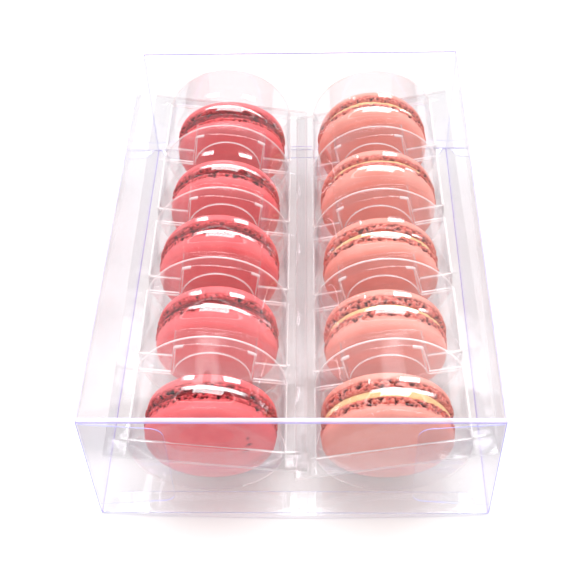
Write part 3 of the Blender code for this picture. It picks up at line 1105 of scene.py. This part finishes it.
def perforation_tree(marks: Material) -> tuple[NodeTree, dict[str, str]]:
    """Make the node tree that sets small marks along a line.

    Args:
        marks: The marks' material.

    Returns:
        The tree, and its inputs' identifiers by name.
    """
    tree = bpy.data.node_groups.new("perforation_row", "GeometryNodeTree")
    tree.interface.new_socket("Geometry", in_out="OUTPUT", socket_type="NodeSocketGeometry")
    sockets = {}
    for name, kind in (("Start", "Vector"), ("Step", "Vector"), ("Size", "Vector"), ("Count", "Int")):
        socket = tree.interface.new_socket(name, in_out="INPUT", socket_type=f"NodeSocket{kind}")
        sockets[name] = socket.identifier
    given = tree.nodes.new("NodeGroupInput")
    line = tree.nodes.new("GeometryNodeMeshLine")
    mark = tree.nodes.new("GeometryNodeMeshCube")
    spread = tree.nodes.new("GeometryNodeInstanceOnPoints")
    real = tree.nodes.new("GeometryNodeRealizeInstances")
    painted = tree.nodes.new("GeometryNodeSetMaterial")
    made = tree.nodes.new("NodeGroupOutput")
    painted.inputs["Material"].default_value = marks
    for source, target in (
        (given.outputs["Start"], line.inputs["Start Location"]),
        (given.outputs["Step"], line.inputs["Offset"]),
        (given.outputs["Count"], line.inputs["Count"]),
        (given.outputs["Size"], mark.inputs["Size"]),
        (line.outputs["Mesh"], spread.inputs["Points"]),
        (mark.outputs["Mesh"], spread.inputs["Instance"]),
        (spread.outputs["Instances"], real.inputs["Geometry"]),
        (real.outputs["Geometry"], painted.inputs["Geometry"]),
        (painted.outputs["Geometry"], made.inputs["Geometry"]),
    ):
        tree.links.new(source, target)
    return tree, sockets


@dataclass(frozen=True)
class Dent:
    """A chip in a shell: its angle round the axis, its distance out, its length, width and depth."""

    angle: float
    distance: float
    length: float
    width: float
    depth: float
    turn: float = 0.0

    def share(self, across: float, up: float) -> float:
        """Return how much of the chip's depth a place on the shell's face has, from 0 to 1."""
        away = Vector((across - self.distance * cos(self.angle), up - self.distance * sin(self.angle)))
        along = away.x * cos(self.turn) + away.y * sin(self.turn)
        beside = away.y * cos(self.turn) - away.x * sin(self.turn)
        reach = (along / self.length) ** 2 + (beside / self.width) ** 2
        return max(0.0, 1.0 - reach) ** 0.5


# Chips in the dome: dented, and darkened with painted shade.
CHIPS = (
    Dent(radians(19), 12.8 * MM, 1.0 * MM, 0.55 * MM, 0.5 * MM, radians(35)),
    Dent(radians(2), 10.4 * MM, 2.3 * MM, 0.28 * MM, 0.35 * MM, radians(42)),
    Dent(radians(32), 14.0 * MM, 1.1 * MM, 0.22 * MM, 0.25 * MM, radians(80)),
)
# Marks in the foot, which only get painted shade.
PAINTED_PIT_SHADES = (
    Dent(radians(97), 19.5 * MM, 0.7 * MM, 0.9 * MM, 0.4 * MM, radians(10)),
    Dent(radians(76), 19.5 * MM, 1.1 * MM, 1.1 * MM, 0.6 * MM, radians(-15)),
    Dent(radians(51), 19.5 * MM, 1.2 * MM, 1.1 * MM, 0.6 * MM, radians(-35)),
)


@dataclass(frozen=True)
class MacaronForm:
    """One macaron's sizes, its place in its slot, how it leans, how oval it is, and its chips."""

    radius: float
    front_dome: float
    back_dome: float
    foot: float
    filling: float
    slot_y: float
    lean: float
    side_shift: float
    rough: float = 1.0
    oval: float = 1.0
    chips: tuple[Dent, ...] = ()

    @classmethod
    def in_mm(cls, lengths: Sequence[float], lean: float, side_shift: float, *rest: object) -> MacaronForm:
        """Return a form from sizes in millimetres and degrees, in the class's order."""
        return cls(*(length * MM for length in lengths), radians(lean), side_shift * MM, *rest)


LEFT_FORMS = (
    MacaronForm.in_mm((20.3, 7.0, 5.5, 1.7, 1.2, 17.6), -4, 0.5, 2.0, 1.0, CHIPS),
    MacaronForm.in_mm((20.0, 6.4, 6.2, 1.7, 1.8, 19.2), -2, 0.5, 1.0),
    MacaronForm.in_mm((20.6, 6.4, 6.2, 1.6, 1.6, 17.6), 0, -0.4, 0.8),
    MacaronForm.in_mm((19.9, 5.8, 5.8, 1.6, 1.6, 16.9), -3, -0.2, 1.2, 0.96, PAINTED_PIT_SHADES),
    MacaronForm.in_mm((20.6, 5.0, 5.6, 1.4, 3.0, 17.1), -10, 0.6, 0.9, 0.955),
)
RIGHT_FORMS = (
    MacaronForm.in_mm((20.4, 5.0, 5.0, 2.8, 2.2, 17.9), -4, -1.3, 1.1, 0.965),
    MacaronForm.in_mm((19.9, 5.6, 5.4, 2.8, 1.4, 18.2), -4, -0.1, 1.2),
    MacaronForm.in_mm((19.8, 5.8, 5.6, 2.4, 1.4, 18.3), -5, 0.0, 1.1),
    MacaronForm.in_mm((20.8, 6.4, 6.2, 1.4, 1.4, 17.4), 0, 0.5, 0.8),
    MacaronForm.in_mm((20.7, 6.0, 5.8, 1.9, 1.6, 17.6), 0, -0.3, 1.1),
)


@dataclass
class Macaron:
    """One macaron on edge: two domed shells on craggy feet, with filling between them.

    A wave is how often a noise repeats in a millimetre, and a mark of it is its depth in millimetres.
    """

    form: MacaronForm
    tray: Tray
    slot: int
    segments: int = 240
    foot_rows: int = 11
    dome_rows: int = 34
    shell_gap: float = 0.3 * MM
    rest_clearance: float = 0.4 * MM
    foot_inset: float = 0.9 * MM
    foot_bulge: float = 0.85
    foot_start: float = 0.93
    foot_rim_shares: Point2 = (0.6, 0.85)
    foot_fade: Point2 = (0.5, 9.0)
    flat_shares: Point2 = (0.35, 0.75)
    dome_inset: float = 0.35 * MM
    dome_step: float = 0.12 * MM
    dome_powers: tuple[float, float, float] = (0.75, 3.0, 0.2)
    pole_rise: float = 0.05 * MM
    relief_from: float = 0.5
    seed_start: float = 3.1
    seed_steps: tuple[float, float, float] = (17.3, 5.7, 41.0)
    wobble: float = 0.25 * MM
    wobble_wave: float = 0.045
    skin_wave: float = 0.55
    skin_mark: float = 0.03
    crag_depth: float = 1.0 * MM
    crag_waves: Point2 = (0.75, 1.7)
    fine_crag_share: float = 0.8
    ruffle_wave: Point2 = (0.5, 2.6)
    ruffle_depth: float = 0.25 * MM
    hole_level: float = 0.05
    hole_steepness: float = 2.0
    pit_level: float = 0.08
    pit_steepness: float = 4.0
    filling_inset: float = 1.0 * MM
    filling_round: float = 0.35 * MM
    filling_rows: int = 9
    filling_gap_share: float = 0.7
    filling_height_share: float = 0.98
    filling_rough_from: float = 0.9
    filling_seed: tuple[float, float, float] = (9.1, 77.0, 13.0)
    filling_shares: Point2 = (0.4, 0.8)
    filling_waves: Point2 = (0.12, 0.8)
    filling_marks: Point2 = (0.4, 0.18)

    @property
    def name(self) -> str:
        """The macaron's name, counted from the front of its row."""
        return f"{self.tray.place.side.word}_macaron_{self.slot + 1}"

    def matrix(self) -> Matrix:
        """Return the macaron's place, resting on its slot's round floor."""
        place, form = self.tray.place, self.form
        half = self.tray.slot_half_width
        depth = place.base_depth
        radius = half if depth > half else (half**2 + depth**2) / (2 * depth)
        lift = radius - depth - self.tray.part_line
        off_middle = form.side_shift - lift * sin(place.roll)
        play = radius - self.rest_clearance - form.radius * form.oval
        z = place.centre_z + lift * cos(place.roll) - sqrt(play**2 - off_middle**2)
        y = form.slot_y + self.slot * self.tray.pitch - self.tray.box_length / 2
        yaw = Matrix.Rotation(place.turn, 4, "Z")
        centre = Vector((place.centre_x, 0.0, 0.0)) + yaw @ Vector((form.side_shift, y, z))
        squeeze = Matrix.Diagonal((1.0, form.oval, 1.0, 1.0))
        return Matrix.Translation(centre) @ yaw @ Matrix.Rotation(pi / 2 - form.lean, 4, "X") @ squeeze

    def shell_profile(self, facing: Facing) -> list[tuple[float, float, float]]:
        """Return the shell's profile as (radius, height, share of foot), from its flat to its pole."""
        form = self.form
        start = form.filling / 2 + self.shell_gap
        inner = form.radius - self.foot_inset
        rows = [(inner * share, start, 0.0) for share in self.flat_shares]
        lower_share, upper_share = self.foot_rim_shares
        rows.append((inner, start, lower_share))
        for share in np.linspace(0.0, 1.0, self.foot_rows + 2)[1:-1]:
            bulge = sin(pi * share) ** 0.5
            rows.append((inner + self.foot_inset * bulge * self.foot_bulge, start + form.foot * share, 1.0))
        rim = form.radius - self.dome_inset
        dome = form.front_dome if facing is Facing.FRONT else form.back_dome
        base = start + form.foot
        rows.append((rim - self.dome_inset, base, upper_share))
        steep, round_power, edge = self.dome_powers
        fade_start, fade_rate = self.foot_fade
        for share in np.linspace(0.0, 1.0, self.dome_rows + 1)[:-1]:
            rise = sin(share * pi / 2) ** steep
            reach = max(0.0, 1.0 - rise**round_power) ** edge
            foot_share = max(0.0, fade_start - share * fade_rate)
            rows.append((rim * reach, base + self.dome_step + (dome - self.dome_step) * rise, foot_share))
        return rows

    def relief(self, spot: Vector, foot: float, seed: Vector) -> tuple[float, float]:
        """Return how far a point of a shell moves out, and how much painted pit shade it gets.

        Args:
            spot: The point in the macaron's own frame.
            foot: The share of foot at the point.
            seed: The shell's place in the noise.

        Returns:
            The move in metres, and the share of painted pit shade from 0 to 1.
        """
        at = spot / MM
        broad = noise.noise(at * self.wobble_wave + seed) * self.wobble
        skin = noise.noise(at * self.skin_wave + seed * 2) * self.skin_mark * MM
        if foot <= 0.0:
            return broad + skin, 0.0
        coarse, fine = (noise.noise(at * w + seed * n) for w, n in zip(self.crag_waves, (3, 5)))
        around, along = self.ruffle_wave
        pleat = noise.noise(Vector((at.x * around, at.y * around, at.z * along)) + seed * 7)
        ruffle = 1.0 - abs(pleat) * 2.0
        hole = max(0.0, (coarse + self.fine_crag_share * fine) * self.form.rough - self.hole_level)
        crag = self.crag_depth * min(1.0, hole * self.hole_steepness)
        # Painted shade: the deepest holes of the foot are marked to be coloured near black.
        pit_shade = min(1.0, max(0.0, hole - self.pit_level) * self.pit_steepness) * foot
        return broad + skin + foot * (self.ruffle_depth * ruffle - crag), pit_shade

    def chip(self, spot: Vector, in_foot: bool, pit_shade: float) -> float:
        """Chip a point of the front shell: the dome is dented and gets painted shade, and the foot only gets
        painted shade.

        Args:
            spot: The point, which is moved.
            in_foot: Whether it lies in the foot.
            pit_shade: The share of painted pit shade at the point.

        Returns:
            The share of painted pit shade, with the chips.
        """
        for chip in self.form.chips:
            if in_foot == (chip.distance > self.foot_start * self.form.radius):
                share = chip.share(spot.x, spot.y)
                spot.z -= 0.0 if in_foot else chip.depth * share
                # Painted shade: the chip darkens, in the dome as well as in the foot.
                pit_shade = max(pit_shade, share)
        return pit_shade

    def ring(self, radius: float, height: float) -> Iterator[tuple[Vector, Vector]]:
        """Yield the points of a ring round the axis, each with its way outwards."""
        for j in range(self.segments):
            angle = 2 * pi * j / self.segments
            spot = Vector((radius * cos(angle), radius * sin(angle), height))
            yield spot, Vector((cos(angle), sin(angle), 0.0))

    def ring_faces(self, rings: int) -> list[tuple[int, ...]]:
        """Return the faces that join rings of points, with a pole at each end after them."""
        count = self.segments
        low, high = rings * count, rings * count + 1
        last = (rings - 1) * count
        pairs = [(j, (j + 1) % count) for j in range(count)]
        faces = []
        for start in range(0, last, count):
            faces += [(start + j, start + k, start + count + k, start + count + j) for j, k in pairs]
        for j, k in pairs:
            faces += [(k, j, low), (last + j, last + k, high)]
        return faces

    def build_shell(self, facing: Facing, material: Material) -> None:
        """Build one shell as a closed mesh with its relief."""
        side = self.tray.place.side
        by_slot, by_facing, by_side = self.seed_steps
        seed = Vector((by_slot * self.slot + self.seed_start, by_facing * facing.value, by_side * side.value))
        profile = self.shell_profile(facing)
        points, feet, pit_shades = [], [], []
        for radius, height, foot in profile:
            for spot, outward in self.ring(radius, facing.value * height):
                move, pit_shade = self.relief(spot, foot, seed)
                if radius > self.relief_from * self.form.radius:
                    spot += outward * move
                if facing is Facing.FRONT:
                    pit_shade = self.chip(spot, foot > 0.0, pit_shade)
                points.append(spot)
                feet.append(foot)
                pit_shades.append(pit_shade)
        for height in (profile[0][1], profile[-1][1] + self.pole_rise):
            points.append(Vector((0.0, 0.0, facing.value * height)))
        faces = self.ring_faces(len(profile))
        if facing is Facing.BACK:
            faces = [tuple(reversed(face)) for face in faces]
        name = f"{self.name}_{facing.word}_shell"
        obj = self.add_food(f"{name}_crust", points, faces, material)
        # The second attribute carries the share of painted pit shade to the shell's material.
        for share_name, values in (("foot", feet), ("pit_shade", pit_shades)):
            attribute = obj.data.attributes.new(share_name, "FLOAT", "POINT")
            attribute.data.foreach_set("value", np.array(values + [0.0, 0.0], np.float32))
        keep(obj, "root", "red_shell" if side is Side.LEFT else "pink_shell", name)

    def add_food(
        self, name: str, points: Sequence[Vector], faces: Sequence[tuple], material: Material
    ) -> Object:
        """Turn points and faces into a smooth object, with its place in its mesh."""
        mesh = bpy.data.meshes.new(name)
        place = self.matrix()
        mesh.from_pydata([place @ p for p in points], [], faces)
        mesh.materials.append(material)
        mesh.shade_smooth()
        return add_object(name, mesh)

    def build_filling(self, material: Material) -> None:
        """Build the round of filling, with an uneven edge."""
        side = self.tray.place.side
        half = self.form.filling / 2 + self.shell_gap * self.filling_gap_share
        edge = self.form.radius - self.filling_inset
        by_slot, middle, by_side = self.filling_seed
        seed = Vector((by_slot * self.slot, middle, by_side * side.value))
        near, far = (edge * share for share in self.filling_shares)
        profile = [(near, -half), (far, -half)]
        for share in np.linspace(-1.0, 1.0, self.filling_rows):
            height = half * share * self.filling_height_share
            profile.append((edge - self.filling_round * abs(share) ** 3, height))
        profile += [(far, half), (near, half)]
        points = []
        for radius, height in profile:
            for spot, outward in self.ring(radius, height):
                if radius > self.filling_rough_from * edge:
                    at = spot / MM
                    waves = zip(self.filling_waves, self.filling_marks)
                    move = sum(noise.noise(at * wave + seed) * mark for wave, mark in waves)
                    spot += outward * move * MM
                points.append(spot)
        points += [Vector((0.0, 0.0, -half)), Vector((0.0, 0.0, half))]
        name = f"{self.name}_filling"
        obj = self.add_food(f"{name}_round", points, self.ring_faces(len(profile)), material)
        keep(obj, "root", "dark_filling" if side is Side.LEFT else "cream_filling", name)

    def build(self, shell: Material, filling: Material) -> None:
        """Build both shells and the filling."""
        for facing in Facing:
            self.build_shell(facing, shell)
        self.build_filling(filling)


@dataclass(frozen=True)
class Softbox:
    """One soft light: the way to it from the box, its sizes and its brightness."""

    name: str
    azimuth: float
    elevation: float
    width: float
    height: float
    radiance: float
    distance: float = 0.9

    def build(self) -> None:
        """Hang the light so that it faces the box."""
        data = bpy.data.lights.new(self.name, "AREA")
        data.shape = "RECTANGLE"
        data.size = self.width
        data.size_y = self.height
        data.energy = self.radiance * pi * self.width * self.height
        light = add_object(self.name, data)
        flat = cos(self.elevation)
        way = Vector((flat * sin(self.azimuth), flat * cos(self.azimuth), sin(self.elevation)))
        light.location = way * self.distance
        light.rotation_euler = (-way).to_track_quat("-Z", "Y").to_euler()


LIGHT_BOUNCES = {"transparent_max": 48, "max": 8, "diffuse": 3, "glossy": 3}
OVERHEAD = Softbox("overhead_softbox", radians(12), radians(76), 0.60, 0.40, 5.8)


@dataclass(frozen=True)
class MirroredRoom:
    """What the films mirror of the room: a pale wall, a bright hoop over the box and a glow behind it.

    Heights and depths are the Z and Y of the way to them, from 0 to 1.
    """

    wall: float = 0.38
    strip: float = 2.0
    strip_heights: Range4 = (0.74, 0.77, 0.789, 0.793)
    above: float = 0.03
    hoop: float = 15.0
    hoop_depths: Range4 = (0.36, 0.38, 0.485, 0.505)
    hoop_sides: Range4 = (-0.52, -0.38, 0.68, 0.78)
    glow: float = 10.0
    glow_depths: Point2 = (0.91, 0.95)
    horizon: Point2 = (0.02, 0.06)

    def build(self, graph: NodeGraph, way: Sequence[NodeSocket]) -> NodeSocket:
        """Return the brightness along a way.

        Args:
            graph: The world's graph.
            way: The way's X, Y and Z.

        Returns:
            The brightness.
        """
        across, depth, height = way
        low, full, end, past = self.strip_heights
        wall = graph.ramp(height, low, full, self.wall, self.strip)
        wall = graph.math("MULTIPLY", wall, graph.ramp(height, end, past, 1.0, 0.0))
        near, near_full, far_full, far = self.hoop_depths
        hoop = graph.ramp(depth, near, near_full)
        hoop = graph.math("MULTIPLY", hoop, graph.ramp(depth, far_full, far, 1.0, 0.0))
        left, left_full, right_full, right = self.hoop_sides
        hoop = graph.math("MULTIPLY", hoop, graph.ramp(across, left, left_full, 0.0, self.hoop))
        hoop = graph.math("MULTIPLY", hoop, graph.ramp(across, right_full, right, 1.0, 0.0))
        glow = graph.ramp(depth, *self.glow_depths, 0.0, self.glow)
        lights = graph.math("MULTIPLY", graph.math("ADD", hoop, glow), graph.ramp(height, *self.horizon))
        return graph.math("ADD", graph.math("ADD", wall, self.above), lights)


@dataclass
class Studio:
    """The white floor, the room, the soft lights and the camera."""

    floor_size: float = 6.0
    floor_drop: float = 0.05 * MM
    camera_spot: tuple[float, float, float] = (10.75 * MM, -261.04 * MM, 294.48 * MM)
    camera_turn: tuple[float, float, float] = (42.218, 1.513, 1.130)
    lens: float = 66.746
    sensor: float = 36.0
    clip_start: float = 0.01
    room_front: float = 1.45
    room_back: float = 3.2
    room_depths: Point2 = (-0.6, 0.8)
    low_share: float = 0.40
    low_heights: Point2 = (0.1, 0.65)

    def build(self) -> None:
        """Set the studio up."""
        self.build_floor()
        self.build_world()
        self.build_camera()
        OVERHEAD.build()
        scene = bpy.context.scene
        scene.view_settings.view_transform = "Standard"
        for kind, most in LIGHT_BOUNCES.items():
            setattr(scene.cycles, f"{kind}_bounces", most)

    def build_floor(self) -> None:
        """Lay the floor under the box."""
        bm = bmesh.new()
        bmesh.ops.create_grid(bm, x_segments=1, y_segments=1, size=self.floor_size / 2)
        floor = add_piece("floor", bm, [FLOOR.build()])
        floor.data.transform(Matrix.Translation((0.0, 0.0, -self.floor_drop)))

    def build_world(self) -> None:
        """Light the room evenly, and give the films something to mirror."""
        world = bpy.data.worlds.new("white_room")
        bpy.context.scene.world = world
        world.use_nodes = True
        graph = NodeGraph(world.node_tree)
        way = graph.add("SeparateXYZ", {0: graph.add("TexCoord").outputs["Generated"]}).outputs
        mirrored = MirroredRoom().build(graph, tuple(way))
        is_mirrored = graph.add("LightPath").outputs["Is Glossy Ray"]
        room = graph.ramp(way["Y"], *self.room_depths, self.room_front, self.room_back)
        room = graph.math("MULTIPLY", room, graph.ramp(way["Z"], *self.low_heights, self.low_share, 1.0))
        choose = graph.add("Mix", {0: is_mirrored, 2: room, 3: mirrored})
        graph.add("OutputWorld", {"Surface": graph.add("Background", {"Strength": choose})})

    def build_camera(self) -> None:
        """Set the camera where the photograph was taken from."""
        data = bpy.data.cameras.new("camera")
        data.lens = self.lens
        data.sensor_width = self.sensor
        data.clip_start = self.clip_start
        camera = add_object("camera", data)
        camera.location = self.camera_spot
        camera.rotation_euler = Euler([radians(a) for a in self.camera_turn])
        bpy.context.scene.camera = camera


def main() -> None:
    """Build the studio, the carton, the trays and the macarons."""
    logging.basicConfig(level=logging.INFO, format="%(name)s: %(message)s")
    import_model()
    Studio().build()
    Carton().build()
    tray_materials = [TRAY_EDGE_PAINTED_HIGHLIGHT.build(), TRAY_CREASE_PAINTED_HIGHLIGHT.build()]
    marks = PERFORATION.build()
    rows = (
        (LEFT_PLACE, LEFT_FORMS, RED_SHELL.build(), DARK_FILLING.build()),
        (RIGHT_PLACE, RIGHT_FORMS, PINK_SHELL.build(), CREAM_FILLING.build()),
    )
    for place, forms, shell, filling in rows:
        tray = Tray(place)
        tray.build(tray_materials, marks)
        for slot, form in enumerate(forms):
            Macaron(form, tray, slot).build(shell, filling)


if __name__ == "__main__":
    main()
